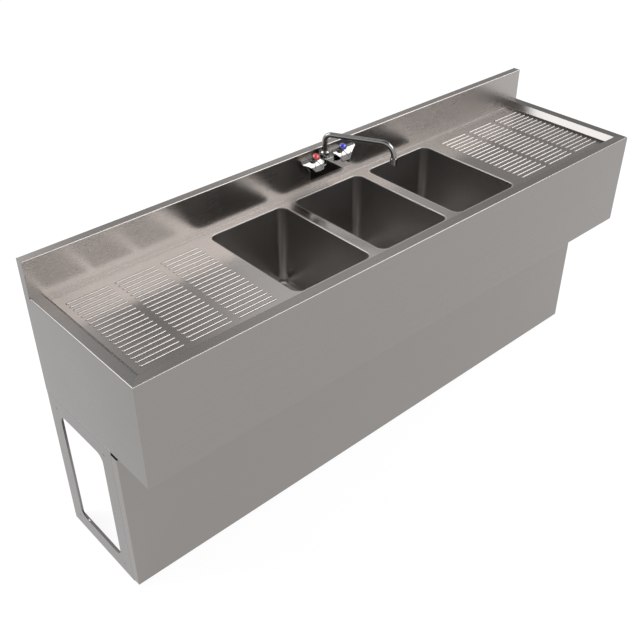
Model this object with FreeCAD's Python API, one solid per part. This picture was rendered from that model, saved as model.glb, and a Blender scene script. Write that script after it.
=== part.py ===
"""Underbar sink: three bowls, two ribbed drainboards, backsplash faucet.

Millimetres, +Z up.  X = 0 is the middle of the length, Y = 0 the middle of
the depth with the front towards -Y, and Z = 0 is the floor.
"""
import FreeCAD
import Part
import math
import os

V = FreeCAD.Vector

# ---------------------------------------------------------------- overall
LENGTH = 1828.8            # 72 in, end face to end face
RIM_HEIGHT = 762.0         # 30 in, floor to rim top
SPLASH_RISE = 100.0        # rim top to backsplash top
SPLASH_THICK = 26.0
SHEET = 1.2                # 18 gauge stainless
PANEL_SHEET = 1.5          # 16 gauge for the legs

# ---------------------------------------------------------------- rim, deck
RIM_WIDTH = 30.0
DECK_DROP = 19.05          # rim top to deck
RIM_SLOPE_RUN = 14.0       # the rim's inner side slopes down over this run
RIM_FOOT_BEND = 3.0
RIM_INNER_BEND = 2.5
FOOT_FLAT = 2.0            # flat strip between the slope and the deck seam
EDGE_BEND = 3.0
SPLASH_BEND = 0.5          # sharp fold where deck and backsplash meet
HEM_WIDTH = 25.4
HEM_BEND = 2.0
APRON_HEIGHT = 292.65      # rim top to apron bottom
DECK_MARGIN = 25.4         # outer bowl to the seam with the drainboard

# ---------------------------------------------------------------- bowls
BOWL_LENGTH_X = 254.0      # 10 in
BOWL_LENGTH_Y = 355.6      # 14 in
BOWL_DEPTH = 254.0         # 10 in below the deck
BOWL_GAP = 38.1            # between neighbouring bowls
BOWL_FRONT_INSET = 57.15   # apron face to bowl
BOWL_BACK_INSET = 50.8     # bowl to the plane of the back
BOWL_CORNER = 24.0
BOWL_FLOOR_COVE = 20.0
BOWL_LIP_BEND = 1.6
BOWL_FLANGE = 6.0
DISH_DEPTH = 5.0
DISH_TOP_RADIUS = 100.0
DISH_FLAT_RADIUS = 44.0

# ---------------------------------------------------------------- ribs
RIB_PITCH = 17.46
RIB_RADIUS = 3.0
RIB_PROUD = 2.4
RIB_LENGTH = 115.5
RIB_FRONT_INSET = 72.0     # apron face to the front rib
RIB_BACK_INSET = 72.0      # least distance from the rear rib to the back
RIB_SEAM_GAP = 26.25       # seam to the inner column
RIB_END_INSET = 62.15      # end face to the outer column
RIB_COLUMN_GAP = 12.0      # least gap between columns

# ---------------------------------------------------------------- lower frame
PANEL_FRONT_INSET = 159.9  # apron face to end panel
PANEL_FLANGE = 25.4
PANEL_BEND = 2.0
WINDOW_MARGIN = 50.8
WINDOW_CORNER = 25.4
SKIRT_INSET = 134.6        # apron face to skirt
SKIRT_FLOOR_GAP = 7.5
SKIRT_TOP_GAP = 10.0
SKIRT_BEND = 2.0
ANCHOR_HOLE_RADIUS = 4.5
ANCHOR_EDGE = 39.5         # anchor hole centre to panel end
ANCHOR_FACE = 18.0         # anchor hole centre to outer face
RAIL_HEIGHT = 42.0
RAIL_TOP_FLANGE = 41.0
RAIL_BOTTOM_FLANGE = 15.0
BACK_RETURN = 12.0         # end apron return at the back
BACK_RETURN_GAP = 1.0      # below the rail
SPLASH_BACK_DROP = 22.0

# ---------------------------------------------------------------- stiffeners
CHANNEL_END_INSET = 119.9  # end face to the outer channel's middle
CHANNEL_SEAM_INSET = 145.5     # seam to the inner channel's middle
CHANNEL_SETBACK = 38.775   # channel end to the rim's inner wall or the splash
CHANNEL_CROWN = 30.0
CHANNEL_RISE = 20.0
CHANNEL_FOOT = 14.0
BRACE_LEG = 60.0
BRACE_THICK = 2.0
BRACE_DROPS = (110.0, 220.0)   # below the rim top

# ---------------------------------------------------------------- fasteners
RIVET_EDGE = 37.7
RIVET_HEAD_RADIUS = 3.8
RIVET_SHANK_RADIUS = 2.4
RIVET_TAIL = 1.4
CORNER_PLATE = 46.0
CORNER_PLATE_THICK = 2.0
CORNER_PLATE_GAP = 0.5
BOLT_RADIUS = 3.0
BOLT_HOLE_RADIUS = 3.2
BOLT_HEAD_FLATS = 10.0
BOLT_HEAD_HEIGHT = 4.0
BOLT_NUT_HEIGHT = 5.0
BOLT_TAIL = 1.5
BOLT_FACE = 14.0           # bolt axis to the outer end face
DRILL_REACH = 6.0          # bolt hole either side of the joint
HEM_BOLT_FROM_BACK = (30.0, 150.0, 270.0)
SKIRT_BOLT_HEIGHTS = (60.0, 235.0, 410.0)

# ---------------------------------------------------------------- drains
DRAIN_HOLE_RADIUS = 26.0
STRAINER_RADIUS = 25.4
STRAINER_BORE = 22.5
STRAINER_FLANGE_RADIUS = 40.0
STRAINER_FLANGE_THICK = 2.4
STRAINER_FLANGE_BEVEL = 2.0
STRAINER_LENGTH = 58.0
SCREEN_LEDGE_DEPTH = 8.0
SCREEN_LEDGE_RADIUS = 24.0
SCREEN_THICK = 1.6
SCREEN_CLEARANCE = 0.3
SCREEN_HOLE_RADIUS = 2.0
SCREEN_HOLE_RINGS = ((9.0, 6), (16.0, 12))     # ring radius, number of holes
SCREEN_STEM_RADIUS = 2.2
SCREEN_STEM_RISE = 6.0
SCREEN_KNOB_RADIUS = 5.0
SCREEN_KNOB_RISE = 12.0
SCREEN_KNOB_BEVEL = 3.0
SCREEN_KNOB_TOP_RADIUS = 3.8
GASKET_RADIUS = 38.0
GASKET_THICK = 3.0
FRICTION_THICK = 0.8
LOCKNUT_FLATS = 64.0
LOCKNUT_HEIGHT = 10.0
TAIL_RADIUS = 19.05        # 1 1/2 in
TAIL_WALL = 1.2
TAIL_LENGTH = 101.6
TAIL_FLANGE_THICK = 2.0
TAIL_NECK_DEPTH = 0.3      # the tube is a little slimmer inside the nut's lip
TAIL_NECK_BELOW = 0.5      # and that far below it
COUPLING_FLATS = 58.0
COUPLING_HEIGHT = 20.0
COUPLING_LIP = 3.0

# ---------------------------------------------------------------- faucet
FAUCET_CENTRES = 101.6     # 4 in
FAUCET_WIDTH = 152.4
FAUCET_DEPTH = 42.0
FAUCET_HEIGHT = 46.0
FAUCET_ABOVE_RIM = 35.0    # rim top to body bottom
SHANK_RADIUS = 10.5
SHANK_BORE = 7.0
SHANK_HOLE_RADIUS = 11.2
SHANK_INSERT = 10.0
SHANK_TAIL = 1.0           # shank end to the plane of the back
SHANK_RELIEF = 1.0         # thread relief that starts half inside the locknut
SHANK_RELIEF_DEPTH = 0.5
SHANK_WASHER_RADIUS = 17.0
SHANK_WASHER_THICK = 1.5
SHANK_NUT_FLATS = 30.0
SHANK_NUT_HEIGHT = 8.0
RISER_FROM_SPLASH = 20.0
RUNNING_CLEARANCE = 0.05
SPOUT_RADIUS = 7.5
SPOUT_WALL = 1.2
SPOUT_REACH = 200.0
SPOUT_RISE = 64.0          # body top to arm centreline
SPOUT_INNER_BEND = 20.0
SPOUT_OUTER_BEND = 38.0
SPOUT_DROP = 3.0           # straight run below the outer bend
SPOUT_ANGLE = -61.5        # arm direction from +X, degrees
SOCKET_DEPTH = 14.0
SOCKET_FLOOR_GAP = 0.3
SEAL_GROOVE_RADIUS = 6.4
SEAL_HEIGHT = 2.0
SEAL_RISE = 4.0            # seal above the riser's lower end
SPOUT_NUT_RADIUS = 13.0
SPOUT_NUT_HEIGHT = 15.0
SPOUT_NUT_TAPER = 4.0      # height of the tapered top
SPOUT_NUT_TOP_RADIUS = 9.5
SPOUT_NUT_GROOVES = 16
SPOUT_NUT_GROOVE_RADIUS = 0.9
SPOUT_NUT_GROOVE_FROM = 2.0    # above the nut's bottom
SPOUT_NUT_GROOVE_TO = 10.0
AERATOR_RADIUS = 9.8
AERATOR_HEIGHT = 20.0
AERATOR_OVERLAP = 6.0
AERATOR_BORE = 7.9
AERATOR_BEVEL = 1.0
AERATOR_STOP = 1.5         # inner ledge under the tube's end
AERATOR_DISC_THICK = 3.0
AERATOR_DISC_LIFT = 1.0
AERATOR_HOLE_RADIUS = 0.7
AERATOR_HOLE_RINGS = ((2.5, 6), (5.2, 10))     # ring radius, number of holes

# valves and handles; heights run along the stem axis from its origin
STEM_TILT = 30.0           # degrees forward of upright
VALVE_FROM_SPLASH = 16.8
VALVE_RISE = 24.0          # body bottom to the stem axis origin
SHOULDER_AT = 17.5         # tilted shoulder that the handle turns above
BRIDGE_HALF = 15.0         # half width of the block between the shoulders
SHOULDER_EDGE = 2.0
BOSS_RADIUS = 15.0
BOSS_TOP = 21.0
CARTRIDGE_RADIUS = 9.0
CARTRIDGE_BOTTOM = 4.0
BONNET_FLATS = 22.0
BONNET_TOP = 25.0
STEM_RADIUS = 4.0
STEM_TOP = 38.5
HANDLE_GAP = 0.3
HANDLE_SKIRT_RADIUS = 12.6
HANDLE_SKIRT_HEIGHT = 2.0
HANDLE_NECK_RADIUS = 8.4
HANDLE_NECK_AT = 38.5
HANDLE_TOP = 48.0
HANDLE_TOP_RADIUS = 11.6
HANDLE_TOP_BAND = 2.0
HANDLE_WEB = 2.0
CANOPY_CREST = 37.6        # top of the canopy over the stem axis
CANOPY_BACK = 37.0         # top of the canopy along its back edge
CANOPY_FRONT = 19.4        # top of the canopy's sheet at its front end
CANOPY_OVERRUN = 4.0       # sheet's front end past the front wing
CANOPY_THICK = 3.4
CANOPY_RIM = 2.8
CANOPY_RECESS = 1.5
OUTER_BLADE_REACH = 46.0
INNER_BLADE_REACH = 33.0
BLADE_HALF = 6.5
FRONT_WING_REACH = 31.0
FRONT_WING_HALF = 15.5
CANOPY_HOLLOW = 2.0        # how far the canopy's slanted edges bow inwards
SCREW_RADIUS = 2.5
SCREW_HEAD_RADIUS = 4.5
SCREW_HEAD_HEIGHT = 3.0
SCREW_SLOT = 1.2
SCREW_LENGTH = 14.0
POCKET_RADIUS = 6.5
BUTTON_RADIUS = 10.0
BUTTON_SEAT = 2.4
BUTTON_DOME = 6.0
SNUG = 0.02                # between a fixed piece and its seat

PAST = 1.0                 # how far a cut runs past the metal
NEAR = 1e-6                # places this close are the same

# ---------------------------------------------------------------- derived
DEPTH = BOWL_FRONT_INSET + BOWL_LENGTH_Y + BOWL_BACK_INSET     # 18 1/4 in
BOWL_PITCH = BOWL_LENGTH_X + BOWL_GAP
DECK_SEAM_X = BOWL_PITCH + BOWL_LENGTH_X / 2 + DECK_MARGIN
END_X = LENGTH / 2
FRONT_Y = -DEPTH / 2
BACK_Y = DEPTH / 2
SPLASH_Y = BACK_Y - SPLASH_THICK
SPLASH_TOP = RIM_HEIGHT + SPLASH_RISE
DECK_Z = RIM_HEIGHT - DECK_DROP
APRON_Z = RIM_HEIGHT - APRON_HEIGHT
FOOT = RIM_SLOPE_RUN + FOOT_FLAT
INNER_X = END_X - RIM_WIDTH
INNER_Y = FRONT_Y + RIM_WIDTH
BOWL_CENTRE_Y = FRONT_Y + BOWL_FRONT_INSET + BOWL_LENGTH_Y / 2
BOWL_NAMES = ("left", "middle", "right")
BOWL_CENTRES_X = (-BOWL_PITCH, 0.0, BOWL_PITCH)
BOWL_FLOOR_Z = DECK_Z - BOWL_DEPTH
DISH_Z = BOWL_FLOOR_Z - DISH_DEPTH
PANEL_Y = FRONT_Y + PANEL_FRONT_INSET
PANEL_TOP = APRON_Z
SKIRT_Y = FRONT_Y + SKIRT_INSET
SKIRT_TOP = APRON_Z - SKIRT_TOP_GAP
SIDES = (("left", -1), ("right", 1))
CHANNEL_REACH = (END_X - CHANNEL_END_INSET, DECK_SEAM_X + CHANNEL_SEAM_INSET)
CHANNEL_CENTRES = sorted(side * x for _, side in SIDES for x in CHANNEL_REACH)

os.makedirs("parts", exist_ok=True)


def save(name, shape):
    """Write one node as a STEP file."""
    shape.exportStep("parts/" + name + ".step")


def box(x0, x1, y0, y1, z0, z1):
    """Box between two corners, given in any order."""
    lo = V(min(x0, x1), min(y0, y1), min(z0, z1))
    return Part.makeBox(abs(x1 - x0), abs(y1 - y0), abs(z1 - z0), lo)


def cylinder(radius, height, base, axis=V(0, 0, 1)):
    return Part.makeCylinder(radius, height, base, axis)


def hex_prism(flats, height, base, axis=V(0, 0, 1), sides=6):
    """Prism with the given width across flats, its axis along axis."""
    corner = flats / 2 / math.cos(math.pi / sides)
    ring = [V(corner * math.cos(2 * math.pi * (i + 0.5) / sides),
              corner * math.sin(2 * math.pi * (i + 0.5) / sides), 0)
            for i in range(sides)]
    prism = Part.Face(Part.makePolygon(ring + ring[:1])).extrude(V(0, 0, height))
    prism.Placement = FreeCAD.Placement(base, FreeCAD.Rotation(V(0, 0, 1), axis))
    return prism


def plan_prism(points, z0, z1):
    """Vertical prism over a polygon given as (x, y) points."""
    ring = [V(x, y, z0) for x, y in points]
    return Part.Face(Part.makePolygon(ring + ring[:1])).extrude(V(0, 0, z1 - z0))


def rounded_prism(cx, cy, size_x, size_y, radius, z0, z1):
    """Vertical prism over a rectangle with rounded corners."""
    block = box(cx - size_x / 2, cx + size_x / 2, cy - size_y / 2, cy + size_y / 2, z0, z1)
    upright = [e for e in block.Edges if abs(e.Vertexes[0].Z - e.Vertexes[1].Z) > NEAR]
    return block.makeFillet(radius, upright)


def revolve(outline):
    """Solid of revolution about Z from (radius, z) points."""
    ring = [V(r, 0, z) for r, z in outline]
    face = Part.Face(Part.makePolygon(ring + ring[:1]))
    return face.revolve(V(0, 0, 0), V(0, 0, 1), 360)


def mirrored(shape):
    return shape.mirror(V(0, 0, 0), V(1, 0, 0))


# ================================================================ folded sheet
def fold_outline(points, radii, sheet):
    """Closed section of a folded sheet in a (u, z) plane.

    points run along the face that shows, radii are that face's bends at the
    inner points, and the metal lies to the left of the direction of travel.
    Returns a list of segments, each two points or three for an arc.
    """
    face, hidden = [], []
    start = points[0]
    first = (points[1][0] - start[0], points[1][1] - start[1])
    size = math.hypot(*first)
    normal = (-first[1] / size, first[0] / size)
    face_at = start
    hidden_at = (start[0] + normal[0] * sheet, start[1] + normal[1] * sheet)
    begin = (face_at, hidden_at)
    for i in range(1, len(points) - 1):
        a, b, c = points[i - 1], points[i], points[i + 1]
        u = (b[0] - a[0], b[1] - a[1])
        w = (c[0] - b[0], c[1] - b[1])
        lu, lw = math.hypot(*u), math.hypot(*w)
        u, w = (u[0] / lu, u[1] / lu), (w[0] / lw, w[1] / lw)
        turn = math.atan2(u[0] * w[1] - u[1] * w[0], u[0] * w[0] + u[1] * w[1])
        left = turn > 0
        radius = radii[i - 1]
        reach = radius * math.tan(abs(turn) / 2)
        t0 = (b[0] - u[0] * reach, b[1] - u[1] * reach)
        t1 = (b[0] + w[0] * reach, b[1] + w[1] * reach)
        n0 = (-u[1], u[0])
        n1 = (-w[1], w[0])
        sign = 1 if left else -1
        centre = (t0[0] + n0[0] * radius * sign, t0[1] + n0[1] * radius * sign)
        out = (b[0] - centre[0], b[1] - centre[1])
        far = math.hypot(*out)
        out = (out[0] / far, out[1] / far)
        mid = (centre[0] + out[0] * radius, centre[1] + out[1] * radius)
        inner = radius - sheet * sign
        mid_h = (centre[0] + out[0] * inner, centre[1] + out[1] * inner)
        h0 = (t0[0] + n0[0] * sheet, t0[1] + n0[1] * sheet)
        h1 = (t1[0] + n1[0] * sheet, t1[1] + n1[1] * sheet)
        face += [(face_at, t0), (t0, mid, t1)]
        hidden += [(hidden_at, h0), (h0, mid_h, h1)]
        face_at, hidden_at = t1, h1
    last_a, last_b = points[-2], points[-1]
    run = (last_b[0] - last_a[0], last_b[1] - last_a[1])
    size = math.hypot(*run)
    normal = (-run[1] / size, run[0] / size)
    end_hidden = (last_b[0] + normal[0] * sheet, last_b[1] + normal[1] * sheet)
    face.append((face_at, last_b))
    hidden.append((hidden_at, end_hidden))
    back = [tuple(reversed(segment)) for segment in reversed(hidden)]
    return face + [(last_b, end_hidden)] + back + [(begin[1], begin[0])]


def fold(points, radii, sheet, place, travel):
    """Folded sheet: section points mapped to space by place, then extruded."""
    edges = []
    for segment in fold_outline(points, radii, sheet):
        spots = [place(*point) for point in segment]
        if len(spots) == 3:
            edges.append(Part.Arc(*spots).toShape())
        else:
            edges.append(Part.LineSegment(*spots).toShape())
    return Part.Face(Part.Wire(edges)).extrude(travel)


def apron_section():
    """Foot, inner slope, rim, apron and hem; u is the inset from the face."""
    points = [(RIM_WIDTH + FOOT, DECK_Z), (RIM_WIDTH + RIM_SLOPE_RUN, DECK_Z),
              (RIM_WIDTH, RIM_HEIGHT), (0.0, RIM_HEIGHT), (0.0, APRON_Z),
              (HEM_WIDTH, APRON_Z)]
    return points, [RIM_FOOT_BEND, RIM_INNER_BEND, EDGE_BEND, HEM_BEND]


# ================================================================ top
def make_front_apron():
    points, radii = apron_section()
    apron = fold(points, radii, SHEET, lambda u, z: V(-END_X, FRONT_Y + u, z),
                 V(LENGTH, 0, 0))
    reach = RIM_WIDTH + FOOT + PAST
    for _, side in SIDES:
        corner = [(side * END_X, FRONT_Y), (side * (END_X - reach), FRONT_Y + reach),
                  (side * END_X, FRONT_Y + reach)]
        apron = apron.cut(plan_prism(corner, APRON_Z - PAST, RIM_HEIGHT + PAST))
    return apron


def make_end_apron():
    """Left end apron: rim section, splash ear and the return at the back."""
    points, radii = apron_section()
    rim = fold(points, radii, SHEET, lambda u, z: V(-END_X + u, FRONT_Y, z),
               V(0, SPLASH_Y - FRONT_Y, 0))
    reach = RIM_WIDTH + FOOT + PAST
    front_corner = [(-END_X, FRONT_Y), (-END_X + reach, FRONT_Y + reach),
                    (-END_X + reach, FRONT_Y)]
    rim = rim.cut(plan_prism(front_corner, APRON_Z - PAST, RIM_HEIGHT + PAST))
    face = fold([(0.0, SPLASH_TOP), (0.0, APRON_Z), (HEM_WIDTH, APRON_Z)], [HEM_BEND],
                SHEET, lambda u, z: V(-END_X + u, SPLASH_Y, z),
                V(0, SPLASH_THICK, 0))
    back_return = box(-END_X, -END_X + BACK_RETURN, BACK_Y - SHEET, BACK_Y,
                      APRON_Z + SHEET, DECK_Z - SHEET - RAIL_HEIGHT - BACK_RETURN_GAP)
    return rim.multiFuse([face, back_return]).removeSplitter()


def make_backsplash():
    """Flat foot, splash face, top return and back drop, with shank holes."""
    points = [(SPLASH_Y - FOOT, DECK_Z), (SPLASH_Y, DECK_Z), (SPLASH_Y, SPLASH_TOP),
              (BACK_Y, SPLASH_TOP), (BACK_Y, SPLASH_TOP - SPLASH_BACK_DROP)]
    mirror_points = [(-u, z) for u, z in points]
    splash = fold(mirror_points, [SPLASH_BEND, EDGE_BEND, EDGE_BEND], SHEET,
                  lambda u, z: V(-END_X + SHEET, -u, z), V(LENGTH - 2 * SHEET, 0, 0))
    for _, side in SIDES:
        splash = splash.cut(box(side * (INNER_X - FOOT), side * END_X, SPLASH_Y,
                                SPLASH_Y - FOOT - PAST, DECK_Z - 2 * SHEET, RIM_HEIGHT))
    for x in (-FAUCET_CENTRES / 2, FAUCET_CENTRES / 2):
        splash = splash.cut(cylinder(SHANK_HOLE_RADIUS, 3 * SHEET,
                                     V(x, SPLASH_Y - SHEET, shank_z()), V(0, 1, 0)))
    return splash


def make_bowl_deck():
    """Flat deck with three cut-outs that the bowl flanges fill."""
    deck = box(-DECK_SEAM_X, DECK_SEAM_X, INNER_Y + FOOT, SPLASH_Y - FOOT,
               DECK_Z - SHEET, DECK_Z)
    for x in BOWL_CENTRES_X:
        deck = deck.cut(rounded_prism(x, BOWL_CENTRE_Y, BOWL_LENGTH_X + 2 * BOWL_FLANGE,
                                      BOWL_LENGTH_Y + 2 * BOWL_FLANGE,
                                      BOWL_CORNER + BOWL_FLANGE,
                                      DECK_Z - 2 * SHEET, DECK_Z + SHEET))
    return deck


def make_rib(x, y):
    """Raised rib with round ends, lying along X and sunk into the sheet."""
    half = RIB_LENGTH / 2 - RIB_RADIUS
    z = DECK_Z + RIB_PROUD - RIB_RADIUS
    bar = cylinder(RIB_RADIUS, 2 * half, V(x - half, y, z), V(1, 0, 0))
    ends = [Part.makeSphere(RIB_RADIUS, V(x + s * half, y, z)) for s in (-1, 1)]
    rib = bar.multiFuse(ends).removeSplitter()
    keep = box(x - RIB_LENGTH, x + RIB_LENGTH, y - 2 * RIB_RADIUS, y + 2 * RIB_RADIUS,
               DECK_Z - SHEET / 2, DECK_Z + RIB_PROUD + PAST)
    return rib.common(keep)


def rib_places():
    """(x, y) of every rib's middle on the right drainboard."""
    first = DECK_SEAM_X + RIB_SEAM_GAP + RIB_LENGTH / 2
    last = END_X - RIB_END_INSET - RIB_LENGTH / 2
    columns = 1 + int((last - first) / (RIB_LENGTH + RIB_COLUMN_GAP))
    step = (last - first) / max(columns - 1, 1)
    rows = 1 + int((DEPTH - RIB_FRONT_INSET - RIB_BACK_INSET) / RIB_PITCH)
    return [(first + column * step, FRONT_Y + RIB_FRONT_INSET + row * RIB_PITCH)
            for column in range(columns) for row in range(rows)]


def make_drainboard(side):
    """Flat sheet with columns of ribs; side is -1 left, 1 right."""
    sheet = box(side * DECK_SEAM_X, side * (INNER_X - FOOT), INNER_Y + FOOT,
                SPLASH_Y - FOOT, DECK_Z - SHEET, DECK_Z)
    return sheet.multiFuse([make_rib(side * x, y) for x, y in rib_places()])


def make_bowl(x):
    """Pan with coved floor, dished to the drain hole, and a turned-out lip."""
    top_x, top_y = BOWL_LENGTH_X, BOWL_LENGTH_Y

    def pan(grow, z0):
        solid = rounded_prism(x, BOWL_CENTRE_Y, top_x + 2 * grow, top_y + 2 * grow,
                              BOWL_CORNER + grow, z0, DECK_Z)
        floor = [e for e in solid.Edges
                 if all(abs(v.Z - z0) < NEAR for v in e.Vertexes)]
        solid = solid.makeFillet(BOWL_FLOOR_COVE + grow, floor)
        dish = revolve([(0, 0), (DISH_TOP_RADIUS + grow, 0),
                        (DISH_FLAT_RADIUS + grow, -DISH_DEPTH), (0, -DISH_DEPTH)])
        dish.translate(V(x, BOWL_CENTRE_Y, z0))
        return solid.fuse(dish).removeSplitter()

    flange = rounded_prism(x, BOWL_CENTRE_Y, top_x + 2 * BOWL_FLANGE,
                           top_y + 2 * BOWL_FLANGE, BOWL_CORNER + BOWL_FLANGE,
                           DECK_Z - SHEET, DECK_Z)
    outer = pan(SHEET, BOWL_FLOOR_Z - SHEET).fuse(flange).removeSplitter()
    concave = [e for e in outer.Edges if bowl_edge(e, DECK_Z - SHEET, x, SHEET)]
    outer = outer.makeFillet(BOWL_LIP_BEND - SHEET, concave)
    bowl = outer.cut(pan(0.0, BOWL_FLOOR_Z))
    lip = [e for e in bowl.Edges if bowl_edge(e, DECK_Z, x, 0.0)]
    bowl = bowl.makeFillet(BOWL_LIP_BEND, lip)
    return bowl.cut(cylinder(DRAIN_HOLE_RADIUS, 4 * SHEET,
                             V(x, BOWL_CENTRE_Y, DISH_Z - 2 * SHEET)))


def bowl_edge(edge, z, x, grow):
    """Is this edge at height z, on the bowl wall grown outwards by grow?"""
    half_x = BOWL_LENGTH_X / 2 + grow + SNUG
    half_y = BOWL_LENGTH_Y / 2 + grow + SNUG
    return all(abs(v.Z - z) < NEAR and abs(v.X - x) < half_x
               and abs(v.Y - BOWL_CENTRE_Y) < half_y for v in edge.Vertexes)


def make_rear_rail():
    """Channel under the backsplash foot, from end apron to end apron."""
    top = DECK_Z - SHEET
    points = [(BACK_Y - RAIL_TOP_FLANGE, top), (BACK_Y, top), (BACK_Y, top - RAIL_HEIGHT),
              (BACK_Y - RAIL_BOTTOM_FLANGE, top - RAIL_HEIGHT)]
    mirror_points = [(-u, z) for u, z in points]
    return fold(mirror_points, [HEM_BEND, HEM_BEND], SHEET,
                lambda u, z: V(-END_X + SHEET, -u, z), V(LENGTH - 2 * SHEET, 0, 0))


def make_deck_channel(x):
    """Hat channel under a drainboard, running front to back."""
    top = DECK_Z - SHEET
    half = CHANNEL_CROWN / 2
    points = [(half + CHANNEL_FOOT, top), (half, top), (half, top - CHANNEL_RISE),
              (-half, top - CHANNEL_RISE), (-half, top), (-half - CHANNEL_FOOT, top)]
    y0 = INNER_Y + CHANNEL_SETBACK
    return fold(points, [HEM_BEND] * 4, SHEET, lambda u, z: V(x + u, y0, z),
                V(0, SPLASH_Y - CHANNEL_SETBACK - y0, 0))


def make_corner_braces():
    """Triangular plates across both front corners, inside the aprons."""
    plates = []
    for _, side in SIDES:
        corner_x = side * (END_X - SHEET)
        corner_y = FRONT_Y + SHEET
        points = [(corner_x, corner_y), (corner_x - side * BRACE_LEG, corner_y),
                  (corner_x, corner_y + BRACE_LEG)]
        for drop in BRACE_DROPS:
            z = RIM_HEIGHT - drop
            plates.append(plan_prism(points, z, z + BRACE_THICK))
    return Part.makeCompound(plates)


# ================================================================ lower frame
def hem_bolt_axes():
    """(x, y) of the upright bolts through the apron hems and panel flanges."""
    return [(side * (END_X - BOLT_FACE), BACK_Y - back)
            for _, side in SIDES for back in HEM_BOLT_FROM_BACK]


def skirt_bolt_axes():
    """(x, z) of the level bolts through the skirt lips and panel flanges."""
    return [(side * (END_X - BOLT_FACE), z)
            for _, side in SIDES for z in SKIRT_BOLT_HEIGHTS]


def drill_hem_bolts(shape):
    for x, y in hem_bolt_axes():
        shape = shape.cut(cylinder(BOLT_HOLE_RADIUS, 2 * DRILL_REACH,
                                   V(x, y, APRON_Z - DRILL_REACH)))
    return shape


def drill_skirt_bolts(shape):
    for x, z in skirt_bolt_axes():
        shape = shape.cut(cylinder(BOLT_HOLE_RADIUS, 2 * DRILL_REACH,
                                   V(x, PANEL_Y - DRILL_REACH, z), V(0, 1, 0)))
    return shape


def rivet_spots():
    """(y, z) of the four rivets of an end panel."""
    return [(y, z) for y in (PANEL_Y + RIVET_EDGE, BACK_Y - RIVET_EDGE)
            for z in (RIVET_EDGE, PANEL_TOP - RIVET_EDGE)]


def make_rivet(y, z, grow=0.0):
    """Countersunk rivet at the left end face, its head flush with it."""
    head = RIVET_HEAD_RADIUS + grow
    shank = RIVET_SHANK_RADIUS + grow
    grip = PANEL_SHEET + CORNER_PLATE_THICK
    flush = Part.makeCone(head, shank, PANEL_SHEET, V(-END_X, y, z), V(1, 0, 0))
    body = cylinder(shank, grip, V(-END_X, y, z), V(1, 0, 0))
    tail = cylinder(head, RIVET_TAIL, V(-END_X + grip, y, z), V(1, 0, 0))
    return flush.multiFuse([body, tail]).removeSplitter()


def anchor_spots():
    return [PANEL_Y + ANCHOR_EDGE, BACK_Y - ANCHOR_EDGE]


def make_end_panel():
    """Left end panel: a pan with a window, flanges turned inwards."""
    outer = box(-END_X, -END_X + PANEL_FLANGE, PANEL_Y, BACK_Y, 0, PANEL_TOP)
    face_edges = [e for e in outer.Edges
                  if all(abs(v.X + END_X) < NEAR for v in e.Vertexes)]
    outer = outer.makeFillet(PANEL_BEND, face_edges)
    hollow = box(-END_X + PANEL_SHEET, -END_X + PANEL_FLANGE + PAST, PANEL_Y + PANEL_SHEET,
                 BACK_Y - PANEL_SHEET, PANEL_SHEET, PANEL_TOP - PANEL_SHEET)
    panel = outer.cut(hollow)
    window = box(-END_X - PAST, -END_X + 3 * PANEL_SHEET, PANEL_Y + WINDOW_MARGIN,
                 BACK_Y - WINDOW_MARGIN, WINDOW_MARGIN, PANEL_TOP - WINDOW_MARGIN)
    along_x = [e for e in window.Edges
               if abs(e.Vertexes[0].X - e.Vertexes[1].X) > NEAR]
    panel = panel.cut(window.makeFillet(WINDOW_CORNER, along_x))
    for y in anchor_spots():
        panel = panel.cut(cylinder(ANCHOR_HOLE_RADIUS, 3 * PANEL_SHEET,
                                   V(-END_X + ANCHOR_FACE, y, -PANEL_SHEET)))
    for y, z in rivet_spots():
        panel = panel.cut(make_rivet(y, z, SNUG))
    return drill_skirt_bolts(drill_hem_bolts(panel))


def make_corner_plates():
    """Four square plates behind the corners of the left end panel."""
    inset = PANEL_SHEET + CORNER_PLATE_GAP
    x0 = -END_X + PANEL_SHEET
    plates = []
    for y in (PANEL_Y + inset, BACK_Y - inset - CORNER_PLATE):
        for z in (inset, PANEL_TOP - inset - CORNER_PLATE):
            plate = box(x0, x0 + CORNER_PLATE_THICK, y, y + CORNER_PLATE, z, z + CORNER_PLATE)
            for ry, rz in rivet_spots():
                plate = plate.cut(make_rivet(ry, rz, SNUG))
            plates.append(plate)
    return plates


def make_front_skirt():
    """Tray-shaped skirt: front, side, top and bottom flanges, rear lips."""
    depth = PANEL_Y - SKIRT_Y
    outer = box(-END_X, END_X, SKIRT_Y, PANEL_Y, SKIRT_FLOOR_GAP, SKIRT_TOP)
    upright = [e for e in outer.Edges
               if all(abs(v.Y - SKIRT_Y) < NEAR for v in e.Vertexes)]
    outer = outer.makeFillet(SKIRT_BEND, upright)
    hollow = box(-END_X + SHEET, END_X - SHEET, SKIRT_Y + SHEET, PANEL_Y + PAST,
                 SKIRT_FLOOR_GAP + SHEET, SKIRT_TOP - SHEET)
    skirt = outer.cut(hollow)
    lips = [box(side * END_X, side * (END_X - HEM_WIDTH), SKIRT_Y + depth - SHEET, PANEL_Y,
                SKIRT_FLOOR_GAP, SKIRT_TOP) for _, side in SIDES]
    return drill_skirt_bolts(skirt.multiFuse(lips).removeSplitter())


def make_bolt(grip, base, axis):
    """Hex bolt: head before base, shank through the grip, nut and tail."""
    head = hex_prism(BOLT_HEAD_FLATS, BOLT_HEAD_HEIGHT, base - axis * BOLT_HEAD_HEIGHT, axis)
    shank = cylinder(BOLT_RADIUS, grip + BOLT_NUT_HEIGHT + BOLT_TAIL, base, axis)
    return head.fuse(shank)


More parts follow.
